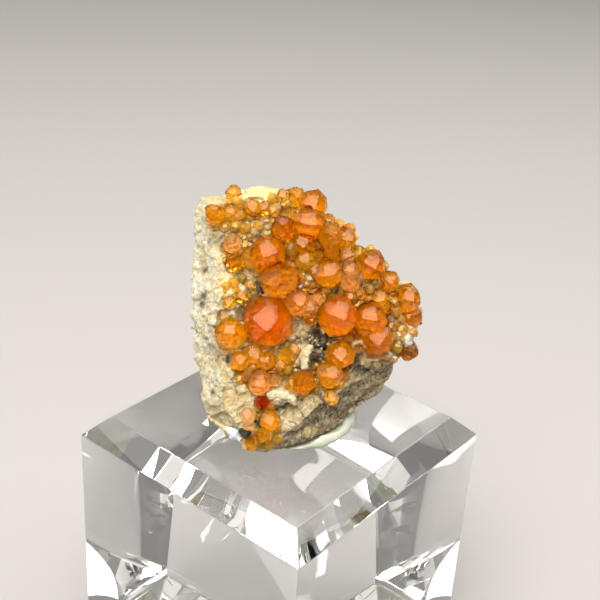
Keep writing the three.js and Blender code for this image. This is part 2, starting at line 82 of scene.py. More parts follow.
# What stands at each CAD node named "garnet_" and a name from here: (slot, without its "garnet_", crystals).
# Every crystal is (x, z, radius, lead x, lead z, spin): its middle on the crystal face and its radius in
# millimetres, the sideways and upward parts of the way that its leading facet looks, and its spin in degrees.
GARNETS = {
    "great": ("deep", [(-4.25, -2.75, 3.25, -0.14, 0.27, 12)]),
    "upper_left": ("deep", [(-4.3, 6, 2.6, 0, 0.34, 75), (-6.4, 5.7, 1.4, -0.2, 0.42, 20)]),
    "rounded": ("amber", [(-2.7, 2.7, 2.5, -0.45, 0.2, 40)]),
    "neck": ("amber", [(-2.1, 9.5, 1.75, 0.35, 0.2, 10)]),
    "crown": ("deep", [
        (1.75, 13, 2, -0.1, 0.24, 30), (-0.6, 13.9, 1.4, 0.1, 0.5, 0), (-2.3, 14, 0.95, 0, 0.4, 50),
    ]),
    "upper_mass": ("deep", [(1.1, 10.2, 2.25, 0.05, 0.32, 48), (-1.3, 11.2, 1.2, 0.3, 0.1, 70)]),
    "upper_right": ("deep", [
        (4, 8.7, 1.85, 0.1, 0.5, 15), (6.1, 8.3, 1.6, 0.05, 0.3, 60), (4.3, 6.2, 1.5, 0.3, 0.2, 33),
    ]),
    "middle": ("deep", [
        (0.6, 7.5, 1.6, -0.2, 0.3, 5), (0.8, 5.3, 1.3, -0.15, 0.35, 42), (2.5, 6.2, 1, 0.2, 0.2, 9),
    ]),
    "wedge": ("deep", [(3.8, 3.6, 1.95, 0, 0.36, 64), (2, 4, 1, 0, 0.3, 22)]),
    "spine": ("pale", [(6.8, 2.4, 1.45, 0.3, 0.3, 5), (6.7, 4.1, 1.2, -0.1, 0.3, 66)]),
    "shoulder_right": ("deep", [(9.5, 4.8, 2, 0, 0.28, 20), (8, 6.4, 1, -0.2, 0.4, 51)]),
    "pane": ("pale", [(6.4, 6.2, 1.15, 0, 0.1, 30)]),
    "slope": ("amber", [(12.1, 2.5, 1.45, 0.06, 0.36, 14)]),
    "edge_pair": ("deep", [(14.6, 0.2, 2, 0.05, 0.36, 35), (15.3, -2.2, 1.7, 0.2, 0.5, 80)]),
    "edge_low": ("amber", [(15.1, -7, 1.35, 0.1, 0.4, 25), (14.8, -5.3, 0.95, 0.2, 0.2, 12)]),
    "right_pair": ("deep", [(9.4, -2.6, 2.35, -0.05, 0.38, 45), (10.4, -5.3, 2.15, 0, 0.32, 8)]),
    "ball": ("deep", [(5, -2, 2.75, 0.04, 0.38, 28)]),
    "pale_group": ("pale", [
        (-0.2, -0.3, 1.85, 0.1, 0.3, 18), (1.2, -1, 1.3, -0.1, 0.2, 63), (2.2, 0.5, 1.15, 0.2, 0.2, 36),
    ]),
    "saddle": ("amber", [(1.5, -2.5, 0.9, 0.1, 0.4, 44)]),
    "lower_right": ("deep", [(5.4, -7.3, 1.95, -0.1, 0.24, 16)]),
    "lower": ("deep", [(4, -9.8, 1.85, 0.05, 0.3, 57)]),
    "lower_middle": ("amber", [(0.4, -10.9, 1.65, -0.3, 0.1, 29), (-1, -11.1, 0.95, 0.1, 0.3, 71)]),
    "bead": ("amber", [(4.2, -13, 0.95, 0, 0.2, 0)]),
    "left": ("deep", [(-9.1, -4.4, 2.05, -0.12, 0.43, 38)]),
    "seed_a": ("amber", [(-10, -2.1, 0.8, 0, 0.3, 15)]),
    "seed_b": ("amber", [(-9.3, -0.3, 0.9, 0, 0.2, 48)]),
    "seed_c": ("amber", [(-7.7, 0.5, 0.85, 0.1, 0.3, 70)]),
    "seed_d": ("amber", [(-6.6, 2.1, 0.7, 0, 0.1, 27)]),
    "honey": ("amber", [(-8.7, 5, 1.15, 0.2, 0.3, 19)]),
    "veil": ("pale", [(-9, 7.5, 1.35, -0.1, 0.1, 55)]),
    "corner": ("amber", [(-11.4, 11.5, 1.45, -0.4, 0.1, 12)]),
    "shoulder_left": ("amber", [(-9.4, 11.8, 1.2, 0.1, 0.3, 31), (-8.1, 11.6, 0.9, 0.1, 0.1, 7)]),
    "ridge": ("amber", [(-6.3, 12.4, 1.15, 0, 0.2, 61), (-4.8, 12.4, 0.95, 0.1, 0.3, 24)]),
    "peak_left": ("amber", [(-9, 14.5, 1.2, 0, 0.3, 41)]),
    "under_great": ("amber", [
        (-7.9, -8, 1.35, 0.1, 0.3, 13), (-6.1, -7.3, 1.15, 0.1, 0.4, 66), (-4.5, -8, 1.35, -0.05, 0.35, 35),
    ]),
    "lower_left": ("pale", [(-5.3, -10.8, 1.7, 0, 0.25, 50), (-3.5, -10.3, 1.1, 0.1, 0.2, 5)]),
    "crumbs": ("amber", [
        (-1.9, -7.4, 1.05, 0.1, 0.2, 17), (-0.8, -6.5, 0.8, 0.1, 0.3, 46), (-2.5, -8.6, 0.75, 0, 0.2, 74),
    ]),
    "foot_left": ("pale", [(-6.8, -15.1, 1.05, -0.1, 0.3, 33), (-6.7, -16.5, 0.8, 0.1, 0.2, 58)]),
    "foot_right": ("amber", [(-3.9, -15.9, 1.45, -0.1, 0.3, 21), (-4.6, -17.6, 1.05, 0.1, 0.1, 69)]),
    "toe": ("amber", [(-6.6, -18.9, 1.1, 0, 0.1, 39)]),
    "ember": ("deep", [(-4.9, -13.4, 0.95, 0, 0.1, 53)]),
    "glint": ("amber", [(8.2, 1.1, 1, 0.1, 0.3, 26)]),
    "sunny": ("amber", [(10.9, 0.3, 1.1, 0, 0.2, 11), (11.9, -0.9, 1, 0.1, 0.3, 60)]),
}

# Quartz crystals between the garnets: (x, z, radius, length, lean sideways, lean upwards), leans in degrees.
QUARTZ = {
    "quartz_smoky_left": ("quartz_smoky", (-8.1, -1.5, 0.95, 2.9, 62, 10)),
    "quartz_blade": ("garnet_pale", (7.8, -6.5, 0.75, 3.4, 8, -12)),
    "quartz_smoky_upper": ("quartz_smoky", (2.3, -4.3, 0.7, 2, 40, -15)),
    "quartz_smoky_lower": ("quartz_smoky", (1.9, -7.4, 0.65, 2.2, -25, -10)),
    "quartz_stub": ("garnet_pale", (11.6, -7.9, 0.85, 2.4, 75, -8)),
}
FLAKES = ("flake_shell", "flake_upright")
CHIPS = ("pale_chip", "black_grain")

# Fields of small crystals and grains that fill the gaps: (x, z, half width, half height, how many, smallest
# radius, largest radius), in millimetres on the crystal face.
DRUSE = {
    "druse_amber": [
        (3, 7, 8, 5.2, 130, 0.35, 1.1), (-7, 11.4, 4.8, 2, 70, 0.3, 0.9),
        (8, 1, 6.2, 5, 110, 0.35, 1.1), (-1.5, -8, 2.4, 2.4, 50, 0.25, 0.7),
        (-5, -16.8, 2.4, 2.6, 40, 0.3, 0.9), (-8.2, 6.8, 2.2, 2.6, 26, 0.3, 0.8),
        (-8.2, 0.8, 2, 2.4, 14, 0.3, 0.7), (-5.8, -9, 3.2, 2.6, 50, 0.3, 0.85),
        (2, -10.5, 4, 2, 34, 0.3, 0.8), (13.4, -3.7, 2.2, 4, 60, 0.35, 0.9),
        (-2, 12.4, 2.6, 2, 40, 0.3, 0.9), (0.4, 1.5, 4.4, 3.6, 60, 0.35, 1),
    ],
    "druse_deep": [
        (3.5, 6.5, 7, 5.5, 60, 0.4, 1.1), (8.5, -1, 5, 5, 40, 0.4, 1.1),
        (-4.8, -13.6, 1.2, 1.2, 8, 0.3, 0.7), (4.2, -9, 2.6, 2, 12, 0.3, 0.8),
        (-6, -8.6, 2.6, 1.8, 10, 0.3, 0.8),
    ],
    "druse_pale": [
        (11.2, -1.4, 1.7, 1.8, 20, 0.3, 0.8), (13.6, -4.2, 1.9, 3.2, 30, 0.3, 0.8),
        (-1.4, -7.6, 2.2, 2, 24, 0.25, 0.6), (2.4, 1.6, 3, 2.2, 24, 0.3, 0.9),
        (7.4, 4.2, 2.2, 3.2, 24, 0.3, 0.9), (-6.8, 9.4, 3.4, 2.2, 30, 0.3, 0.7),
        (10.4, -7.9, 2.4, 0.9, 20, 0.3, 0.8), (-1.4, 12.6, 2.2, 1.8, 14, 0.3, 0.7),
        (-0.4, -4.3, 1.6, 1.2, 18, 0.25, 0.6),
    ],
    "grains_white": [
        (1.6, -6.5, 2.2, 3.4, 40, 0.1, 0.26), (-8, -10, 1.4, 1.6, 8, 0.12, 0.28),
    ],
    "grains_black": [
        (2.8, -5.8, 1.5, 2.8, 16, 0.12, 0.4), (8, -8.9, 2.6, 0.6, 9, 0.12, 0.3),
        (-5.4, -15.9, 0.5, 1.8, 12, 0.12, 0.36), (-6.1, 1.6, 1.4, 1, 7, 0.12, 0.3),
        (9.4, 1.9, 0.7, 0.6, 3, 0.15, 0.3), (4.9, 1.1, 0.8, 0.5, 3, 0.15, 0.3),
    ],
}
# How the druse looks: (slot, tint, what it absorbs, how much of it per metre, tint of its gleam).
DRUSE_LOOKS = {
    "druse_amber": ("garnet_amber", (1.0, 0.7, 0.12), (1.0, 0.8, 0.02), 1400.0, (1.0, 0.8, 0.5)),
    "druse_deep": ("garnet_deep", (1.0, 0.5, 0.06), (1.0, 0.75, 0.02), 1400.0, (1.0, 0.7, 0.4)),
    "druse_pale": ("garnet_pale", (1.0, 0.86, 0.55), (1.0, 0.85, 0.3), 600.0, (1.0, 0.7, 0.5)),
}
DRUSE_CLARITY = 0.8
DRUSE_IOR = 1.5
SMALL_SHAPES = 6  # how many different shapes the crystals of a druse have
PLAIN_SHARE = 0.3  # how many of those are plain dodecahedra
TRIES = 12  # for a free place, before a small crystal is left out
CLOSENESS = 0.78  # how near two small crystals stand, as a share of their radii together
GARNET_CLEARANCE = 0.84  # how near a large garnet's middle one stands, as a share of the garnet's radius
OWN_CLEARANCE = 0.3  # and of its own radius on top of that
# What the loose grains are made of: (slot, material).
GRAIN_LOOKS = {
    "grains_white": ("feldspar_plate", "feldspar_flake"),
    "grains_black": ("black_mineral", "glossy_black_mineral"),
}

# Places on the rock, as (x, z, radius) in millimetres: dark ones (dark grains, and painted crevice shade),
# olive ones, and honey-coloured ones (yellow stain, brightened by painted light).
DARK_PLACES = (
    (3.6, -5.6, 1.2), (2.4, -7.8, 1.1), (2.1, -3.8, 0.9), (7.4, -8.5, 0.9), (8.9, -9.2, 0.7),
    (5.9, -9.4, 0.6), (13.1, -7.2, 0.6), (4.1, -11.6, 0.5), (5, 1.1, 0.9), (9.6, 1.9, 0.8), (-5.6, 1.4, 1),
    (-6.3, 2.4, 0.6), (-7.7, 2.8, 0.7), (-7.2, 5.8, 0.5), (-1.2, 6.3, 0.5), (-5.1, -15.2, 0.6),
    (-5.2, -16.4, 0.7), (-9.5, -7.9, 0.5), (-9.5, -1.2, 0.45), (-7.1, -17.6, 0.7), (6, -12.7, 0.3),
    (7, -11.5, 0.3), (-3.2, -14.4, 0.45), (-2.2, -14.1, 0.35), (1.5, -16.2, 0.4), (2.6, -15.9, 0.35),
    (-12.9, 0.6, 0.5), (-13.2, -0.6, 0.4), (-7.4, -9.6, 0.4), (-0.2, -5, 0.4), (4.6, -4.4, 0.5),
    (1.5, -4.9, 0.8), (1.8, -6.3, 0.7), (3.3, -8.7, 0.7), (2.6, -12.6, 0.35), (3.4, -13.6, 0.4),
    (4.8, -14.6, 0.35), (0.4, -13.2, 0.3), (-12.9, 4.2, 0.35), (-12.6, -5.2, 0.3), (-11.6, -12.4, 0.4),
    (-12.1, 8, 0.3), (-6.6, 1.1, 0.7), (-5, 0.2, 0.5),
)
OLIVE_PLACES = (
    (-11.2, 8.4, 0.9), (-10.7, 7.4, 0.6), (-8.2, 13.4, 0.9), (2.6, -6.6, 1.8), (1.3, -5.3, 1.2),
    (6.6, 4.5, 0.7), (-7.9, 3.3, 0.8),
)
HONEY_AND_GLOW_PLACES = (
    (-9.1, 2.2, 1.3), (3, 6, 5.5), (8.5, 0, 4.5), (-1.6, 12.8, 2.4), (-6.4, 13, 3.2), (-1.6, -7.8, 1.9),
    (-5.2, -16.6, 1.8), (12.4, -3.6, 2), (14.6, -4.6, 1.8), (-6.4, -8.6, 2.4), (-4, 1, 2.4),
)
# Cracks in the rock, painted dark as the shade inside them, from (x, z) to (x, z).
CRACKS = (
    ((-0.5, -14), (0.7, -15.4)), ((0.7, -15.4), (2.8, -16)), ((-3.9, -13.9), (-2.6, -14.5)),
    ((5.4, -12.2), (8.4, -11)), ((-5.1, -14.2), (-5.3, -16.8)), ((1.6, -12.2), (3.4, -13.4)),
    ((3.4, -13.4), (5.4, -14.2)), ((-1.4, -16), (0.6, -17.4)), ((-8.9, -10.6), (-8.2, -12.6)),
    ((2.8, -16), (4.4, -15.4)),
)
CRACK_FADE = 0.14  # how far to each side a crack fades out, in millimetres

# The rock comes up in a low mound round all that stands on it.
GARNET_MOUND = Vector((1.15, 0.5, 1.15))  # its half sizes, as shares of the garnet's radius
CHIP_MARGIN = Vector((0.5, 0.3, 0.5))  # how far it reaches past a flake or a chip, in millimetres
CHIP_SUNK = 0.9  # how far behind a flake or a chip its middle lies
# It also swells between two groups of garnets at its right edge, all in millimetres.
SWELLING = (14.7, -4.8)
SWELLING_HALF = Vector((1.4, 1.6, 1.7))
SWELLING_FROM = SWELLING[0] - 1.1  # where it rises from the rock's front
SWELLING_SUNK = 1.8  # how far behind that front its middle lies
SUGAR_GRAIN = 0.34  # size of the rock's own grains, in millimetres

# Round places that the small crystals leave free for the quartz and the flakes: (x, z, radius).
KEPT_CLEAR = (
    (-8.1, -1.5, 1), (7.8, -6.5, 0.9), (2.3, -4.3, 0.8), (1.9, -7.4, 0.7), (11.6, -7.9, 0.9),
    (-4.2, -13, 0.8), (-2.9, -12.5, 0.9), (-1.6, -12.9, 0.8), (0.5, -6.2, 0.6), (0.5, -7.4, 0.6),
    (0.5, -8.6, 0.6), (-7.4, -17.8, 1.2),
)

# The garnets that look unlike the others of their slot.
ODD_LOOKS = {"rounded": "milky", "ember": "red"}

GARNET_CIRCLES = [(x, z, radius) for _, rows in GARNETS.values() for x, z, radius, *_ in rows]
SMALL_GARNET = 1.2  # below this radius a garnet is a plain dodecahedron

# How a garnet has grown, as shares of its radius.
LEAD_REACH = 0.88  # from its middle to its leading facet
PLAIN_REACH = 0.88  # to the other faces of a plain dodecahedron
BLUNT_REACH = 1.03  # to the dodecahedron's faces where they only blunt the edges of a trapezohedron
MAIN_REACH = 0.92  # to the trapezohedron's own faces
FACE_SCATTER = 0.14  # how unevenly the faces have grown
EDGE_WEAR = 0.012  # width of the rounded edges
GARNET_SUNK = 0.95  # from its front to its middle

# How a quartz crystal has grown, as shares of its radius, or of half its length for its ends.
QUARTZ_SIDE = 0.87  # from its axis to its sides
QUARTZ_SUNK = 0.85  # from its front to its middle
SIDE_SCATTER = 0.1  # how unevenly its sides have grown
TIP_SCATTER = 0.12  # and its ends
QUARTZ_SLOPE = 38  # degrees that its end faces lean in from its sides

SPLINTER_FACES = 9  # of an angular grain
FACET_ANGLE = 8  # degrees between two facets from which they meet in a sharp edge
WORN_ANGLE = 12  # degrees from which an edge is worn round
ALL_ROUND = 180  # degrees, for a surface with no sharp edge at all

# The seeds of what is left to chance.
GARNET_SEED = 100
QUARTZ_SEED = 7
GRAIN_SEED = 3
DRUSE_SEED = 500

# ------------------------ the stage

VIEW_AZIMUTH = 0.05  # degrees round from straight at the crystal face
VIEW_ELEVATION = 28.13  # degrees above level
VIEW_RIGHT = 2.37  # how far the view's middle lies to the right of the block's, in millimetres
VIEW_UP = 16.51  # and above the middle of its top
SKY_COLOUR = (1.0, 0.97, 0.94)
SKY_STRENGTH = 0.2  # of the faint light from all round
# The softboxes: (azimuth, elevation, metres away, metres wide, colour).
SOFTBOXES = {
    "key": (-20, 62, 0.5, 0.36, (1.0, 0.95, 0.9)),
    "side": (-95, 50, 0.6, 0.5, (1.0, 0.97, 0.93)),
    "right": (115, 58, 0.5, 0.5, (1.0, 0.97, 0.93)),
}


# ------------------------ helpers for modelling


def deselect_all():
    """Leaves nothing selected, and Blender in object mode."""
    if bpy.context.object and bpy.context.object.mode != "OBJECT":
        bpy.ops.object.mode_set(mode="OBJECT")
    bpy.ops.object.select_all(action="DESELECT")


def pick(*things):
    """Selects these objects only, and makes the first one active."""
    deselect_all()
    for thing in things:
        thing.select_set(True)
    bpy.context.view_layer.objects.active = things[0]


def named(thing, name):
    """Names an object and its mesh, and returns the object."""
    thing.name = name
    thing.data.name = name
    return thing


def joined(things, name):
    """Several objects as one, with its place in its mesh."""
    pick(*things)
    if len(things) > 1:
        bpy.ops.object.join()
    bpy.ops.object.transform_apply(location=True, rotation=True, scale=True)
    return named(bpy.context.object, name)


def edited(thing, operator, **settings):
    """Runs an edit-mode operator on the whole of an object's mesh, and returns the object."""
    pick(thing)
    bpy.ops.object.mode_set(mode="EDIT")
    bpy.ops.mesh.select_all(action="SELECT")
    operator(**settings)
    bpy.ops.object.mode_set(mode="OBJECT")
    return thing


def modified(thing, kind, **settings):
    """Adds a modifier, applies it, and returns the object."""
    pick(thing)
    modifier = thing.modifiers.new(kind.title(), kind)
    for key, value in settings.items():
        setattr(modifier, key, value)
    bpy.ops.object.modifier_apply(modifier=modifier.name)
    return thing


def relief(thing, kind, size, height, where="", middle=0.5, **more):
    """Raises and sinks a surface, or a vertex group of it, by lumps of about size millimetres."""
    texture = bpy.data.textures.new("relief", kind)
    texture.noise_scale = size * MM
    for key, value in more.items():
        setattr(texture, key, value)
    modified(
        thing, "DISPLACE", texture=texture, texture_coords="LOCAL", strength=height, mid_level=middle,
        vertex_group=where,
    )


def worn(thing, width, segments=2, angle=WORN_ANGLE):
    """Rounds the edges of a crystal or a block."""
    return modified(
        thing, "BEVEL", width=width, segments=segments, limit_method="ANGLE", angle_limit=math.radians(angle)
    )


def copy_of_node(node, name):
    """A copy of a CAD node with its loose triangles merged."""
    copy = bpy.data.objects.new(name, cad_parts[node].data.copy())
    bpy.context.scene.collection.objects.link(copy)
    copy.data.materials.clear()
    return edited(copy, bpy.ops.mesh.remove_doubles, threshold=0.002 * MM)


def copy_of_shape(shape, place):
    """A copy of a finished shape, with its own mesh, put in its place by a matrix."""
    copy = bpy.data.objects.new(shape.name, shape.data.copy())
    copy.data.transform(place)
    bpy.context.scene.collection.objects.link(copy)
    return copy


def settle(piece, nodes, material, smooth_angle=FACET_ANGLE):
    """Gives a finished piece its shading, its material, its CAD body and what it stands for."""
    pick(piece)
    bpy.ops.object.transform_apply(location=True, rotation=True, scale=True)
    bpy.ops.object.shade_smooth_by_angle(angle=math.radians(smooth_angle))
    piece.data.materials.clear()
    piece.data.materials.append(material)
    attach(piece, "root")
    if nodes:
        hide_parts(*nodes)
    piece.select_set(False)


def on_face(x, y, z):
    """A point of the rock's own frame, given in millimetres, in the block's frame in metres."""
    return FACE_TO_BLOCK @ (Vector((x, y, z)) * MM)


def face_direction(x, y, z):
    """A direction of the rock's own frame in the block's frame."""
    return (FACE_TO_BLOCK.to_3x3() @ Vector((x, y, z))).normalized()


def towards(azimuth, elevation):
    """A direction from the specimen, azimuth 0 being straight at its face and 90 its right."""
    a, e = math.radians(azimuth + FACE_TURN), math.radians(elevation)
    return Vector((math.sin(a) * math.cos(e), -math.cos(a) * math.cos(e), math.sin(e)))


def limited(value):
    """A value kept between 0 and 1."""
    return min(1.0, max(0.0, value))


def surface_of(mesh):
    """A mesh's surface, for finding places on it."""
    return BVHTree.FromPolygons([v.co for v in mesh.vertices], [p.vertices for p in mesh.polygons])


def node_surface(name):
    """A CAD node's surface."""
    return surface_of(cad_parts[name].data)


def seen_at(surface, x, z):
    """The foremost point of a surface at a place on the crystal face, and the way it faces, or two Nones."""
    well_in_front = -30
    return surface.ray_cast(on_face(x, well_in_front, z), face_direction(0, 1, 0))[:2]


def front_of(surface, x, z):
    """How far forward a surface reaches at a place on the crystal face, in millimetres."""
    just_in_front = -5
    hit, _ = seen_at(surface, x, z)
    if hit is None:
        hit = surface.find_nearest(on_face(x, just_in_front, z))[0]
    return (BLOCK_TO_FACE @ hit).y / MM


# ------------------------ helpers for materials


def new_material(name):
    """An empty node material and its tree."""
    material = bpy.data.materials.new(name)
    material.use_nodes = True
    material.node_tree.nodes.clear()
    return material, material.node_tree


def node(tree, kind, inputs=None, **settings):
    """A shader node with its settings made and its inputs set or linked."""
    made = tree.nodes.new(kind)
    for key, value in settings.items():
        setattr(made, key, value)
    for key, value in (inputs or {}).items():
        if isinstance(value, bpy.types.NodeSocket):
            tree.links.new(value, made.inputs[key])
        else:
            made.inputs[key].default_value = value
    return made


def rgba(colour):
    """A colour with its alpha."""
    return (*colour[:3], 1.0)


def ramp(tree, factor, stops):
    """A colour ramp: stops is a list of (position, colour)."""
    made = node(tree, "ShaderNodeValToRGB", {"Fac": factor})
    elements = made.color_ramp.elements
    while len(elements) < len(stops):
        elements.new(0.5)
    for element, (position, colour) in zip(elements, stops):
        element.position = position
        element.color = rgba(colour)
    return made.outputs["Color"]


def level(tree, value, low, high, out_low=0.0, out_high=1.0):
    """A value stretched so that low becomes out_low and high becomes out_high."""
    made = node(
        tree,
        "ShaderNodeMapRange",
        {"Value": value, "From Min": low, "From Max": high, "To Min": out_low, "To Max": out_high},
        interpolation_type="SMOOTHSTEP",
    )
    return made.outputs["Result"]


def mix(tree, factor, a, b, blend="MIX"):
    """Two colours mixed."""
    made = node(tree, "ShaderNodeMix", data_type="RGBA", blend_type=blend)
    # The factor, and the two colours among the sockets for every type of value.
    for socket, value in ((made.inputs[0], factor), (made.inputs[6], a), (made.inputs[7], b)):
        if isinstance(value, bpy.types.NodeSocket):
            tree.links.new(value, socket)
        else:
            socket.default_value = value if isinstance(value, float) else rgba(value)
    return made.outputs[2]


def maths(tree, operation, a, b=0.0):
    """One sum on two values."""
    return node(tree, "ShaderNodeMath", {0: a, 1: b}, operation=operation).outputs[0]


def times(tree, a, b):
    """Two values multiplied."""
    return maths(tree, "MULTIPLY", a, b)


def object_mm(tree):
    """Object coordinates in millimetres."""
    place = node(tree, "ShaderNodeTexCoord").outputs["Object"]
    return node(tree, "ShaderNodeMapping", {"Vector": place, "Scale": (1 / MM,) * 3}).outputs["Vector"]


def cloud(tree, place, size, detail=4.0, roughness=0.55, distortion=0.0):
    """Noise whose lumps are about size millimetres."""
    inputs = {"Vector": place, "Scale": 1 / size, "Detail": detail, "Roughness": roughness}
    return node(tree, "ShaderNodeTexNoise", {**inputs, "Distortion": distortion}).outputs["Fac"]


def cells(tree, place, size, output="Distance", feature="F1"):
    """A pattern of cells of about size millimetres: the distance in each, or its own colour."""
    inputs = {"Vector": place, "Scale": 1 / size}
    return node(tree, "ShaderNodeTexVoronoi", inputs, feature=feature).outputs[output]


def attribute(tree, name):
    """A value painted on the piece."""
    return node(tree, "ShaderNodeAttribute", attribute_name=name).outputs["Fac"]


def marked(tree, body, mark, colour, share=1.0, blend="MIX"):
    """A colour laid over where a mark is painted on the piece."""
    return mix(tree, times(tree, attribute(tree, mark), share), body, colour, blend)


def bumps(tree, height, strength, distance):
    """Fine relief as a normal; distance in millimetres."""
    inputs = {"Height": height, "Strength": strength, "Distance": distance * MM}
    return node(tree, "ShaderNodeBump", inputs).outputs["Normal"]


def finished(material, inputs, absorbed=None, density=0.0):
    """A material with its surface, and with what it absorbs of the light that crosses it, per metre."""
    tree = material.node_tree
    sides = {"Surface": node(tree, "ShaderNodeBsdfPrincipled", inputs).outputs["BSDF"]}
    if absorbed:
        inside = node(tree, "ShaderNodeVolumeAbsorption", {"Color": rgba(absorbed), "Density": density})
        sides["Volume"] = inside.outputs["Volume"]
    node(tree, "ShaderNodeOutputMaterial", sides)
    return material


# ------------------------ materials


def grain_colours(tree, grain, settings):
    """The rock's colours grain by grain: of its body, where it broke fresh, and on its underside, which is
    weathered and darkened by painted shade.
    """
    rows = (
        (
            (0.3, [c * 0.55 for c in settings.body_colour]),
            (0.43, settings.body_colour),
            (0.57, settings.pale_colour),
            (0.74, (0.82, 0.75, 0.52)),
        ),
        (
            (0.32, (0.18, 0.15, 0.09)),
            (0.41, (0.56, 0.52, 0.38)),
            (0.5, settings.fresh_colour),
            (0.64, (0.84, 0.86, 0.79)),
        ),
        # The underside's browns: partly its weathering, partly painted shade.
        ((0.36, (0.06, 0.04, 0.02)), (0.47, settings.weathered_and_shaded_colour), (0.64, (0.72, 0.64, 0.48))),
    )
    return [ramp(tree, grain, stops) for stops in rows]


def veins(tree, place, broad):
    """Thin dark veins, where the rock is marked for them."""
    wandering = cloud(tree, place, 1.5, detail=6.0, distortion=0.6)
    aside = maths(tree, "ABSOLUTE", maths(tree, "SUBTRACT", wandering, 0.5))
    vein = times(tree, level(tree, aside, 0.0, 0.026, 0.9, 0.0), attribute(tree, "veined"))
    return times(tree, vein, level(tree, broad, 0.4, 0.5))


def feldspar_material(name, settings):
    """Cream feldspar: fresh and sugary where it broke, honey-stained among the garnets and brightened there
    by painted light, weathered below and darkened there by painted shade.
    """
    material, tree = new_material(name)
    place = object_mm(tree)
    broad = cloud(tree, place, 3.2)
    grain = cloud(tree, place, 0.45, detail=6.0, roughness=0.7)
    fine = cloud(tree, place, 0.1, detail=3.0, roughness=0.7)
    own_colour = cells(tree, place, SUGAR_GRAIN, "Color")
    each_grain = node(tree, "ShaderNodeSeparateColor", {"Color": own_colour}).outputs["Red"]
    between = cells(tree, place, SUGAR_GRAIN)

    body, fresh, weathered = grain_colours(tree, grain, settings)
    body = mix(tree, level(tree, broad, 0.42, 0.66, 0.0, 0.6), body, (0.98, 0.88, 0.62), "MULTIPLY")
    tan = level(tree, cloud(tree, place, 1.8, detail=5.0), 0.5, 0.62, 0.0, 0.75)
    fresh = mix(tree, tan, fresh, (0.92, 0.76, 0.5), "MULTIPLY")
    body = marked(tree, body, "fresh", fresh)
    # Painted shade: the downward-facing underside takes a dark brown, partly its weathering and partly the
    # shade that falls there.
    body = marked(tree, body, "weathered", weathered)
    body = mix(tree, level(tree, each_grain, 0.0, 1.0, 0.3, 0.0), body, (0.84, 0.78, 0.62), "MULTIPLY")
    # Honey-yellow among the garnets: partly a real stain, partly painted light that lifts the shade between
    # them.
    body = marked(tree, body, "honey", (1.0, 0.78, 0.36), 0.8)
    body = marked(tree, body, "olive", (0.42, 0.42, 0.3), 0.8, "MULTIPLY")
    specks = level(tree, cloud(tree, place, 0.5, detail=5.0, roughness=0.75), 0.62, 0.68, 0.0, 0.6)
    body = mix(tree, specks, body, (0.2, 0.17, 0.11))
    body = mix(tree, veins(tree, place, broad), body, (0.14, 0.1, 0.06))
    # Painted shade in the pits of the fine relief; upward-facing ridges take the same warm darkening.
    body = marked(tree, body, "hollow", (0.72, 0.6, 0.4), 0.6, "MULTIPLY")
    # Painted shade: near-black in the listed patches and along the cracks, deeper in pits; partly real dark
    # grains.
    dark_grain_and_crevice_shade = ramp(tree, grain, [(0.42, (0.02, 0.018, 0.014)), (0.6, (0.2, 0.17, 0.11))])
    body = marked(tree, body, "dark", dark_grain_and_crevice_shade)
    # Painted light: the rock under and around each garnet is painted pale, so that the garnets glow brighter.
    body = marked(tree, body, "bed", (0.97, 0.9, 0.76), 0.85)

    height = times(tree, grain, 0.5)
    for part, share in ((fine, 0.15), (each_grain, 0.22), (between, -0.3)):
        height = maths(tree, "ADD", height, times(tree, part, share))
    inputs = {
        "Base Color": body,
        "Roughness": level(tree, each_grain, 0.75, 0.95, 0.8, 0.3),
        "Specular IOR Level": 0.45,
        "Normal": bumps(tree, height, 0.9, 0.28),
    }
    return finished(material, inputs)


def crystal_material(name, tint, absorbed, density, clarity, ior, haze=0.0, gleam=(0.6, 0.37, 0.24)):
    """A clear crystal that takes its depth of colour from the light that it absorbs."""
    material, tree = new_material(name)
    place = object_mm(tree)
    patch = cloud(tree, place, 1.3, detail=5.0, roughness=0.6, distortion=0.8)
    veil = cloud(tree, place, 0.5, detail=6.0, roughness=0.75)
    colour = ramp(tree, patch, [(0.3, [c**1.3 for c in tint]), (0.5, tint), (0.75, [c**0.7 for c in tint])])
    etched = level(tree, veil, 0.5, 0.75, haze, 0.04 + haze)
    inputs = {
        "Base Color": colour,
        "Roughness": etched,
        "IOR": ior,
        "Specular Tint": rgba(gleam),
        "Transmission Weight": clarity,
        "Normal": bumps(tree, veil, 0.12, 0.02),
    }
    return finished(material, inputs, absorbed, density)


def acrylic_material():
    """Polished clear acrylic."""
    material, tree = new_material("clear_acrylic")
    smears = cloud(tree, object_mm(tree), 6.0, detail=6.0, roughness=0.65)
    inputs = {
        "Base Color": (1.0, 1.0, 1.0, 1.0),
        "Roughness": level(tree, smears, 0.55, 0.8, 0.0, 0.04),
        "IOR": 1.49,
        "Transmission Weight": 1.0,
    }
    return finished(material, inputs, (0.9, 0.97, 0.95), 2.0)


def putty_material():
    """Soft pale putty."""
    material, tree = new_material("putty")
    place = object_mm(tree)
    colour = ramp(tree, cloud(tree, place, 2.5), [(0.3, (0.6, 0.63, 0.5)), (0.7, (0.74, 0.75, 0.62))])
    inputs = {
        "Base Color": colour,
        "Roughness": 0.42,
        "Subsurface Weight": 0.3,
        "Subsurface Radius": (1.0, 1.0, 0.8),
        "Subsurface Scale": 0.8 * MM,
        "Normal": bumps(tree, cloud(tree, place, 0.8), 0.15, 0.1),
    }
    return finished(material, inputs)


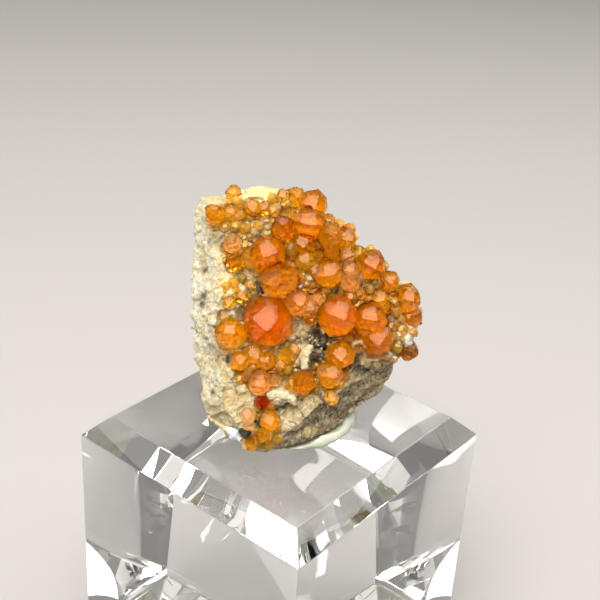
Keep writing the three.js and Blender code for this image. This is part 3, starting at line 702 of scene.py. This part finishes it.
def black_material():
    """A glossy black mineral with a faint cleavage."""
    material, tree = new_material("glossy_black_mineral")
    place = object_mm(tree)
    grain = cloud(tree, place, 0.3, detail=4.0)
    inputs = {
        "Base Color": ramp(tree, grain, [(0.35, (0.008, 0.007, 0.006)), (0.7, (0.05, 0.045, 0.035))]),
        "Roughness": level(tree, grain, 0.3, 0.7, 0.12, 0.4),
        "Normal": bumps(tree, grain, 0.3, 0.05),
    }
    return finished(material, inputs)


def plain_material(name, colour, roughness):
    """A plain surface of one colour."""
    material, _ = new_material(name)
    return finished(material, {"Base Color": rgba(colour), "Roughness": roughness})


# ------------------------ cutting crystals


def form_directions(*face):
    """The outward directions of a crystal form's faces, such as (2, 1, 1), with all its cubic copies."""
    signs = product((1, -1), repeat=3)
    found = {tuple(a * b for a, b in zip(order, sign)) for sign in signs for order in permutations(face)}
    return [Vector(way).normalized() for way in sorted(found, reverse=True)]


TRAPEZOHEDRON = form_directions(2, 1, 1)
DODECAHEDRON = form_directions(1, 1, 0)


def cut_solid(centre, reach, faces):
    """Trims a cube that reaches so far from its centre by faces given as (outward direction, distance)."""
    bpy.ops.mesh.primitive_cube_add(size=2 * reach, location=centre)
    solid = bpy.context.object
    bpy.ops.object.mode_set(mode="EDIT")
    for out, distance in faces:
        bpy.ops.mesh.select_all(action="SELECT")
        bpy.ops.mesh.bisect(plane_co=centre + out * distance, plane_no=out, use_fill=True, clear_outer=True)
    bpy.ops.object.mode_set(mode="OBJECT")
    bpy.ops.object.transform_apply(location=True, rotation=True, scale=True)
    return solid


def cut_garnet(centre, radius, turn, plain, rng):
    """A garnet, its radius in metres: a plain dodecahedron, or a trapezohedron with its edges cut off."""
    lead = (DODECAHEDRON if plain else TRAPEZOHEDRON)[0]
    faces = [(way, PLAIN_REACH if plain else BLUNT_REACH) for way in DODECAHEDRON]
    if not plain:
        faces += [(way, MAIN_REACH) for way in TRAPEZOHEDRON]
    grown = []
    for way, at in faces:
        reach = LEAD_REACH if way == lead else at + FACE_SCATTER * (rng.random() - 0.5)
        grown.append((turn @ way, radius * reach))
    return cut_solid(centre, 2 * radius, grown)


def cut_quartz(centre, radius, length, axis, rng):
    """A six-sided crystal with a point at each end. Lengths are in metres."""
    slope = math.radians(QUARTZ_SLOPE)
    across = axis.orthogonal().normalized()
    faces = []
    for step in range(6):
        side = Quaternion(axis, math.radians(60 * step)) @ across
        faces.append((side, radius * (QUARTZ_SIDE + SIDE_SCATTER * (rng.random() - 0.5))))
        for end in (axis, -axis):
            tip = (side * math.cos(slope) + end * math.sin(slope)).normalized()
            faces.append((tip, tip.dot(end) * length / 2 * (1 + TIP_SCATTER * (rng.random() - 0.5))))
    return cut_solid(centre, length, faces)


def any_way(rng):
    """A vector that points anywhere."""
    return Vector((rng.gauss(0, 1), rng.gauss(0, 1), rng.gauss(0, 1)))


def cut_splinter(rng):
    """An angular grain about one metre in radius, to be copied at its real size."""
    faces = [(any_way(rng).normalized(), rng.uniform(0.55, 1.0)) for _ in range(SPLINTER_FACES)]
    return cut_solid(Vector(), 1.0, faces)


def garnet_turn(plain, lead_x, lead_z, spin):
    """The turn that points a garnet's leading facet as its row says."""
    lead = face_direction(lead_x, -math.sqrt(1 - lead_x**2 - lead_z**2), lead_z)
    facet = (DODECAHEDRON if plain else TRAPEZOHEDRON)[0]
    return Quaternion(lead, math.radians(spin)) @ facet.rotation_difference(lead)


def garnet_places(name):
    """Every crystal of a garnet node as (middle in metres, radius in metres, turn, plain)."""
    rows = []
    surface = node_surface("garnet_" + name)
    for x, z, radius, lead_x, lead_z, spin in GARNETS[name][1]:
        plain = radius < SMALL_GARNET
        depth = front_of(surface, x, z) + GARNET_SUNK * radius
        rows.append((on_face(x, depth, z), radius * MM, garnet_turn(plain, lead_x, lead_z, spin), plain))
    return rows


def unite(crystals, name):
    """Joins crystals that have grown into one another in one solid."""
    whole = crystals[0]
    for other in crystals[1:]:
        modified(whole, "BOOLEAN", operation="UNION", object=other, solver="EXACT")
        bpy.data.objects.remove(other)
    return named(whole, name)


def small_shapes(crystalline, rng):
    """A few small garnets or splinters, about a metre in radius, to be copied at their real size."""
    shapes = []
    for _ in range(SMALL_SHAPES):
        if crystalline:
            shape = cut_garnet(Vector(), 1.0, Quaternion(), rng.random() < PLAIN_SHARE, rng)
        else:
            shape = cut_splinter(rng)
        shapes.append(worn(shape, 0.03, segments=1))
    return shapes


def crystal_materials(settings):
    """The garnets' and the quartz's materials by slot, made once."""
    made = {}
    for slot, tint, absorbed, density, ior, haze in (
        ("garnet_deep", settings.orange_colour, (0.99, 0.825, 0.02), 1150.0, 1.66, 0.0),
        ("garnet_amber", settings.orange_colour, (1.0, 0.82, 0.02), 1300.0, 1.66, 0.0),
        ("garnet_milky", settings.milky_colour, (1.0, 0.8, 0.04), 700.0, 1.6, 0.1),
        ("garnet_red", settings.orange_colour, (0.92, 0.45, 0.02), 2200.0, 1.66, 0.0),
        ("garnet_pale", settings.pale_colour, (1.0, 0.77, 0.36), 800.0, 1.6, 0.02),
        ("quartz_smoky", settings.smoky_colour, (0.8, 0.68, 0.55), 900.0, 1.55, 0.03),
    ):
        name = "clear_" + slot
        found = bpy.data.materials.get(name)
        made[slot] = found or crystal_material(name, tint, absorbed, density, settings.clarity, ior, haze)
    return made


def rock_surface():
    """The finished rock's surface, for setting things on it."""
    rock = bpy.data.objects.get("feldspar_rock")
    if rock is None:
        raise RuntimeError("The rock is modelled first")
    return surface_of(rock.data)


def free_place(field, radius, taken, rng):
    """A free place in a field for a crystal of this radius, clear of the large garnets, or None."""
    x, z, half_width, half_height = field
    own = OWN_CLEARANCE * radius
    for _ in range(TRIES):
        way, out = rng.uniform(0, 2 * math.pi), math.sqrt(rng.random())
        px, pz = x + half_width * out * math.cos(way), z + half_height * out * math.sin(way)
        if any(math.hypot(px - gx, pz - gz) < GARNET_CLEARANCE * g + own for gx, gz, g in GARNET_CIRCLES):
            continue
        if all(math.hypot(px - tx, pz - tz) > CLOSENESS * (radius + t) for tx, tz, t in taken):
            return px, pz
    return None


def scatter(surface, fields, rng):
    """Places on the rock for small crystals: (place, outward, radius in millimetres)."""
    places, taken = [], list(KEPT_CLEAR)
    for *field, count, smallest, largest in fields:
        for index in range(count):
            # The large ones come first, and the small ones fill what they leave.
            radius = largest - (largest - smallest) * (index / count) ** 0.6
            free = free_place(field, radius, taken, rng)
            hit, outward = seen_at(surface, *free) if free else (None, None)
            if hit is not None:
                taken.append((*free, radius))
                places.append((hit, outward, radius))
    return places


# ------------------------ marks on the rock


def near(places, x, z, softness):
    """How much a place lies within any of these round ones, which fade out over softness millimetres."""
    deepest = max(radius - math.hypot(x - px, z - pz) for px, pz, radius in places)
    return limited(deepest / softness + 0.5)


def near_crack(x, z):
    """How much a place lies in a crack."""
    closest = math.inf
    for (ax, az), (bx, bz) in CRACKS:
        dx, dz = bx - ax, bz - az
        along = limited(((x - ax) * dx + (z - az) * dz) / (dx * dx + dz * dz))
        closest = min(closest, math.hypot(x - ax - along * dx, z - az - along * dz))
    return limited(1.1 - closest / CRACK_FADE)


def marks_at(place, outward, rise):
    """What the rock is like at a place, each mark from 0 to 1; rise is the height of its fine relief."""
    wander = noise.noise(place / 1.6) * 0.35
    ragged = noise.noise(place / 0.5) * 0.5
    x, z = place.x + ragged * 0.5, place.z + wander
    front = limited(0.3 - outward.y * 2)
    # The left flank is freshly broken. The underside to the right of it is weathered and darkened by painted
    # shade, and veined at its foot.
    fresh = limited(-outward.x * 1.6 - 0.55 + wander) * limited(1.0 + (place.z + 4) * 0.04)
    under = limited((-outward.z - 0.14) * 2.4 + wander) * limited((place.x + 6) / 4)
    # Honey stains spread among the garnets, brightened by painted light against the shade between them. Dark
    # grains lie in patches; painted shade darkens the cracks and the patches, less where the rock rises.
    honey = near(HONEY_AND_GLOW_PLACES, x, z, 1.6) * limited(1.4 - outward.y * 2) * (1 - fresh) * (1 - under)
    ridge = limited((outward.z - 0.25) * 1.6) * (1 - fresh)
    dark = max(near(DARK_PLACES, x, z, 0.35) * limited(0.75 + ragged - rise), near_crack(x, z))
    foot = limited((-place.z - 11.5) / 2.0 + wander) * limited((place.x + 3.5) / 2.0)
    return {
        "fresh": fresh,
        # The underside: partly weathered, partly painted shade.
        "weathered": under,
        # Painted shade where the fine relief sinks; ridges facing up are darkened to a warmer tone.
        "hollow": max(limited(-0.05 - rise * 2.6) * (1 - honey), ridge),
        "honey": honey,
        "olive": near(OLIVE_PLACES, x, z, 0.8) * front,
        # Painted crevice shade, partly dark grains.
        "dark": dark * max(front, fresh * limited(0.4 + ragged * 4)),
        # Painted light: a pale bed under each garnet, so that it glows.
        "bed": limited(near(GARNET_CIRCLES, place.x, place.z, 0.3) * 2 - 1) * front,
        "veined": max(under * 0.9, foot * limited(0.3 - outward.y)),
    }


def paint(rock, before, normals):
    """Marks the rock's vertices, from where they were before its fine relief and how they faced then."""
    marks = {}
    for vertex, old, normal in zip(rock.data.vertices, before, normals):
        rise = (vertex.co - old).dot(normal) / MM
        found = marks_at(BLOCK_TO_FACE @ vertex.co / MM, BLOCK_TO_FACE.to_3x3() @ normal, rise)
        for name, value in found.items():
            marks.setdefault(name, []).append(value)
    for name, values in marks.items():
        layer = rock.data.attributes.new(name, "FLOAT", "POINT")
        layer.data.foreach_set("value", values)


# ------------------------ settings


class RockSettings(PropertyGroup):
    grain: FloatProperty(
        name="Mesh grain", description="Size of the rock's finest relief", default=0.205 * MM, unit="LENGTH"
    )
    relief: FloatProperty(name="Relief", description="Height of its lumps", default=0.5 * MM, unit="LENGTH")
    body_colour: FloatVectorProperty(
        name="Body", description="Colour of the rock", default=(0.57, 0.49, 0.31), subtype="COLOR"
    )
    pale_colour: FloatVectorProperty(
        name="Pale", description="Colour of its pale grains", default=(0.68, 0.6, 0.39), subtype="COLOR"
    )
    fresh_colour: FloatVectorProperty(
        name="Fresh", description="Colour of the broken flank", default=(0.62, 0.65, 0.56), subtype="COLOR"
    )
    # The underside's colour: partly weathering, partly painted shade.
    weathered_and_shaded_colour: FloatVectorProperty(
        name="Weathered and shaded", description="Colour of the underside", default=(0.28, 0.215, 0.135), subtype="COLOR"
    )


class CrystalSettings(PropertyGroup):
    orange_colour: FloatVectorProperty(
        name="Orange", description="Tint of the orange garnets", default=(1.0, 0.93, 0.8), subtype="COLOR"
    )
    pale_colour: FloatVectorProperty(
        name="Pale", description="Tint of the pale garnets", default=(1.0, 0.9, 0.82), subtype="COLOR"
    )
    milky_colour: FloatVectorProperty(
        name="Milky", description="Tint of the milky amber garnet", default=(1.0, 0.84, 0.66), subtype="COLOR"
    )
    smoky_colour: FloatVectorProperty(
        name="Smoky", description="Tint of the smoky quartz", default=(0.92, 0.86, 0.8), subtype="COLOR"
    )
    clarity: FloatProperty(
        name="Clarity",
        description="Share of the light that passes into a crystal",
        default=1.0,
        min=0,
        max=1,
        subtype="FACTOR",
    )


class StageSettings(PropertyGroup):
    floor_colour: FloatVectorProperty(
        name="Floor", description="Colour of the floor", default=(0.4, 0.39, 0.38), subtype="COLOR"
    )
    key_power: FloatProperty(name="Key", description="Power of the main softbox", default=3.8, unit="POWER")
    side_power: FloatProperty(name="Side", description="Power of the left one", default=1.8, unit="POWER")
    right_power: FloatProperty(name="Right", description="Power of the right one", default=2.4, unit="POWER")
    lens: FloatProperty(name="Lens", description="Focal length", default=68.04, subtype="DISTANCE_CAMERA")
    distance: FloatProperty(
        name="Distance", description="From the camera to the specimen", default=160.1 * MM, unit="LENGTH"
    )


# ------------------------ operators


class SPECIMEN_OT_stage(Operator):
    """Sets out the floor, the lights and the camera"""

    bl_idname = "specimen.stage"
    bl_label = "Stage"

    def execute(self, context):
        settings = context.scene.specimen_stage
        deselect_all()
        bpy.ops.mesh.primitive_plane_add(size=4.0, location=(0, 0, -0.05 * MM))
        floor = named(context.object, "floor")
        floor.data.materials.append(plain_material("floor", settings.floor_colour, 0.8))

        top = Vector((0, 0, BLOCK_TOP * MM))
        for name, (azimuth, elevation, distance, size, colour) in SOFTBOXES.items():
            way = towards(azimuth, elevation)
            bpy.ops.object.light_add(type="AREA", location=top + way * distance)
            light = named(context.object, name)
            light.data.shape = "SQUARE"
            light.data.size = size
            light.data.energy = getattr(settings, name + "_power")
            light.data.color = colour
            light.rotation_mode = "QUATERNION"
            light.rotation_quaternion = way.to_track_quat("Z", "Y")

        world = bpy.data.worlds.new("studio")
        world.use_nodes = True
        sky = world.node_tree.nodes["Background"]
        sky.inputs["Color"].default_value = rgba(SKY_COLOUR)
        sky.inputs["Strength"].default_value = SKY_STRENGTH
        context.scene.world = world
        context.scene.view_settings.view_transform = "Standard"
        # Light has to cross the block and the crystals many times before it leaves them.
        cycles = context.scene.cycles
        cycles.max_bounces = 24
        cycles.diffuse_bounces = 12
        cycles.glossy_bounces = cycles.transmission_bounces = 20

        back = towards(VIEW_AZIMUTH, VIEW_ELEVATION)
        level_right = towards(VIEW_AZIMUTH + 90, 0)
        lean = Quaternion(back, math.radians(FACE_ROLL))
        right, up = lean @ level_right, lean @ back.cross(level_right)
        bpy.ops.object.camera_add()
        camera = named(context.object, "camera")
        turn = Matrix((right, up, back)).transposed().to_4x4()
        stand = top + back * settings.distance + (right * VIEW_RIGHT + up * VIEW_UP) * MM
        camera.matrix_world = Matrix.Translation(stand) @ turn
        camera.data.sensor_width = 36
        camera.data.lens = settings.lens
        camera.data.clip_start = 0.01
        context.scene.camera = camera
        return {"FINISHED"}


class SPECIMEN_OT_block(Operator):
    """Models the clear bevelled display block"""

    bl_idname = "specimen.block"
    bl_label = "Display block"

    def execute(self, context):
        block = copy_of_node("block", "display_block")
        edited(block, bpy.ops.mesh.dissolve_limited, angle_limit=math.radians(2))
        worn(block, 0.12 * MM, segments=3, angle=20)
        settle(block, ["block"], acrylic_material(), smooth_angle=30)
        return {"FINISHED"}


class SPECIMEN_OT_tack(Operator):
    """Models the pad of putty pressed out under the rock"""

    bl_idname = "specimen.tack"
    bl_label = "Putty"

    def execute(self, context):
        tack = copy_of_node("tack", "putty")
        tack.data.transform(Matrix.Translation((0, 0, -GAP)))
        modified(tack, "REMESH", mode="VOXEL", voxel_size=0.25 * MM)
        modified(tack, "SMOOTH", factor=0.8, iterations=14)
        relief(tack, "CLOUDS", 4.0, 0.5 * MM)
        relief(tack, "CLOUDS", 1.2, 0.12 * MM)
        settle(tack, ["tack"], putty_material(), ALL_ROUND)
        return {"FINISHED"}


class SPECIMEN_OT_rock(Operator):
    """Models the feldspar rock"""

    bl_idname = "specimen.rock"
    bl_label = "Rock"

    def execute(self, context):
        settings = context.scene.specimen_rock
        rock = copy_of_node("rock", "feldspar_rock")
        fillers = [rock]
        inwards = face_direction(0, 1, 0)

        def mound(middle, half):
            """Fills a dip with a squashed ball, its half sizes in the rock's own frame."""
            bpy.ops.mesh.primitive_ico_sphere_add(subdivisions=3, radius=1.0)
            fill = context.object
            shape = FACE_TO_BLOCK.to_3x3().to_4x4() @ Matrix.Diagonal((*half, 1))
            fill.data.transform(Matrix.Translation(middle) @ shape)
            fillers.append(fill)

        for name in GARNETS:
            for centre, radius, *_ in garnet_places(name):
                mound(centre + inwards * radius * GARNET_SUNK, GARNET_MOUND * radius)
        for name in (*QUARTZ, *FLAKES, *CHIPS):
            low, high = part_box(name)
            mound((low + high) / 2 + inwards * CHIP_SUNK * MM, (high - low) / 2 + CHIP_MARGIN * MM)
        x, z = SWELLING
        depth = front_of(surface_of(rock.data), SWELLING_FROM, z)
        mound(on_face(x, depth + SWELLING_SUNK, z), SWELLING_HALF * MM)
        rock = joined(fillers, "feldspar_rock")
        modified(rock, "REMESH", mode="VOXEL", voxel_size=settings.grain)

        # The back and the underside, which no crystals cover, are broken more coarsely.
        back = rock.vertex_groups.new(name="back")
        for vertex in rock.data.vertices:
            depth = (BLOCK_TO_FACE @ vertex.co).y / MM
            down = -(BLOCK_TO_FACE.to_3x3() @ vertex.normal).z
            beneath = limited((depth + 1.5) / 2.5) * limited(down * 3.0) * 0.9
            share = max(limited((depth - 3.0) / 4.0), beneath)
            if share > 0:
                back.add([vertex.index], share, "REPLACE")
        relief(rock, "CLOUDS", 6.0, settings.relief * 3.2, where="back", noise_depth=2)
        relief(rock, "VORONOI", 3.4, settings.relief * 2, where="back", middle=0.6, color_mode="POSITION")
        before = [v.co.copy() for v in rock.data.vertices]
        normals = [v.normal.copy() for v in rock.data.vertices]
        relief(rock, "CLOUDS", 2.6, settings.relief * 1.3, noise_depth=2)
        relief(rock, "VORONOI", 1.7, settings.relief * 1.2, middle=0.72, color_mode="POSITION")
        modified(rock, "SMOOTH", factor=0.5, iterations=2)
        relief(rock, "VORONOI", 0.7, settings.relief * 0.8, middle=0.62, color_mode="POSITION")
        relief(rock, "CLOUDS", 0.4, settings.relief * 0.6, noise_depth=3)
        paint(rock, before, normals)
        settle(rock, ["rock"], feldspar_material("feldspar_rock", settings), ALL_ROUND)
        return {"FINISHED"}


class SPECIMEN_OT_garnets(Operator):
    """Cuts every garnet that stands on the crystal face"""

    bl_idname = "specimen.garnets"
    bl_label = "Garnets"

    def execute(self, context):
        materials = crystal_materials(context.scene.specimen_crystals)
        for index, (name, (slot, rows)) in enumerate(GARNETS.items()):
            rng = random.Random(GARNET_SEED + index)
            deselect_all()
            crystals = [cut_garnet(*place, rng) for place in garnet_places(name)]
            widest = max(radius for _, _, radius, *_ in rows) * MM
            cluster = worn(unite(crystals, f"garnet_{name}_crystal"), EDGE_WEAR * widest)
            look = materials["garnet_" + ODD_LOOKS.get(name, slot)]
            settle(cluster, ["garnet_" + name], look)
        return {"FINISHED"}


class SPECIMEN_OT_quartz(Operator):
    """Cuts the quartz crystals between the garnets"""

    bl_idname = "specimen.quartz"
    bl_label = "Quartz"

    def execute(self, context):
        materials = crystal_materials(context.scene.specimen_crystals)
        rng = random.Random(QUARTZ_SEED)
        for name, (slot, (x, z, radius, length, sideways, upwards)) in QUARTZ.items():
            deselect_all()
            depth = front_of(node_surface(name), x, z) + QUARTZ_SUNK * radius
            up, aside = math.radians(upwards), math.radians(sideways)
            lean = Matrix.Rotation(up, 3, "X") @ Matrix.Rotation(aside, 3, "Z")
            axis = face_direction(*(lean @ Vector((0, 1, 0))))
            crystal = cut_quartz(on_face(x, depth, z), radius * MM, length * MM, axis, rng)
            worn(named(crystal, name + "_crystal"), 0.03 * radius * MM)
            settle(crystal, [name], materials[slot])
        return {"FINISHED"}


class SPECIMEN_OT_flakes(Operator):
    """Models the curved feldspar flakes, the pale chip and the black grain"""

    bl_idname = "specimen.flakes"
    bl_label = "Flakes and chips"

    def execute(self, context):
        feldspar = feldspar_material("feldspar_flake", context.scene.specimen_rock)
        chip = plain_material("pale_chip", (0.78, 0.84, 0.9), 0.3)
        for name in (*FLAKES, "pale_chip"):
            flake = copy_of_node(name, name + "_broken")
            modified(flake, "REMESH", mode="VOXEL", voxel_size=0.08 * MM)
            modified(flake, "SMOOTH", factor=0.6, iterations=6)
            modified(flake, "DISPLACE", strength=0.22 * MM, mid_level=0.0)
            relief(flake, "VORONOI", 0.9, 0.3 * MM, color_mode="POSITION")
            relief(flake, "CLOUDS", 0.6, 0.3 * MM, noise_depth=3)
            look = chip if name == "pale_chip" else feldspar
            settle(flake, [name], look, ALL_ROUND)
        low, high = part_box("black_grain")
        grain = named(cut_splinter(random.Random(GRAIN_SEED)), "black_grain_cleaved")
        grain.data.transform(Matrix.Translation((low + high) / 2) @ Matrix.Diagonal((*((high - low) / 2), 1)))
        worn(grain, 0.03 * MM)
        settle(grain, ["black_grain"], black_material())
        return {"FINISHED"}


class SPECIMEN_OT_druse(Operator):
    """Grows the small crystals and sets the grains between the garnets"""

    bl_idname = "specimen.druse"
    bl_label = "Small crystals"

    def execute(self, context):
        surface = rock_surface()
        for index, (name, fields) in enumerate(DRUSE.items()):
            rng = random.Random(DRUSE_SEED + index)
            deselect_all()
            crystalline = name in DRUSE_LOOKS
            shapes = small_shapes(crystalline, rng)
            thinnest, thickest, raised = (0.85, 1.15, 0.1) if crystalline else (0.6, 1.3, 0.15)
            copies = []
            for place, outward, radius in scatter(surface, fields, rng):
                turn = Quaternion(any_way(rng), rng.uniform(0, math.pi)).normalized()
                half = [rng.uniform(thinnest, thickest) * radius * MM for _ in range(3)]
                seat = Matrix.Translation(place + outward * radius * raised * MM)
                where = seat @ turn.to_matrix().to_4x4() @ Matrix.Diagonal((*half, 1))
                copies.append(copy_of_shape(rng.choice(shapes), where))
            for shape in shapes:
                bpy.data.objects.remove(shape)
            if crystalline:
                slot, tint, absorbed, density, gleam = DRUSE_LOOKS[name]
                material = crystal_material(
                    name, tint, absorbed, density, DRUSE_CLARITY, DRUSE_IOR, gleam=gleam
                )
            else:
                slot, look = GRAIN_LOOKS[name]
                material = bpy.data.materials[look]
            settle(joined(copies, name), [], material)
        return {"FINISHED"}


class SPECIMEN_PT_panel(Panel):
    """Lists the pieces of the specimen"""

    bl_idname = "SPECIMEN_PT_panel"
    bl_label = "Garnet Specimen"
    bl_space_type = "VIEW_3D"
    bl_region_type = "UI"
    bl_category = "Garnet Specimen"

    def draw(self, context):
        for step in STEPS:
            self.layout.operator(step.bl_idname)


STEPS = (
    SPECIMEN_OT_stage,
    SPECIMEN_OT_block,
    SPECIMEN_OT_tack,
    SPECIMEN_OT_rock,
    SPECIMEN_OT_garnets,
    SPECIMEN_OT_quartz,
    SPECIMEN_OT_flakes,
    SPECIMEN_OT_druse,
)
SETTINGS = {
    "specimen_rock": RockSettings,
    "specimen_crystals": CrystalSettings,
    "specimen_stage": StageSettings,
}
CLASSES = (*SETTINGS.values(), *STEPS, SPECIMEN_PT_panel)


def register():
    for cls in CLASSES:
        bpy.utils.register_class(cls)
    for name, settings in SETTINGS.items():
        setattr(bpy.types.Scene, name, PointerProperty(type=settings))


def unregister():
    for name in SETTINGS:
        delattr(bpy.types.Scene, name)
    for cls in reversed(CLASSES):
        bpy.utils.unregister_class(cls)


def main():
    register()
    bpy.ops.specimen.stage()
    bpy.ops.specimen.block()
    bpy.ops.specimen.tack()
    bpy.ops.specimen.rock()
    bpy.ops.specimen.garnets()
    bpy.ops.specimen.quartz()
    bpy.ops.specimen.flakes()
    bpy.ops.specimen.druse()


if __name__ == "__main__":
    main()
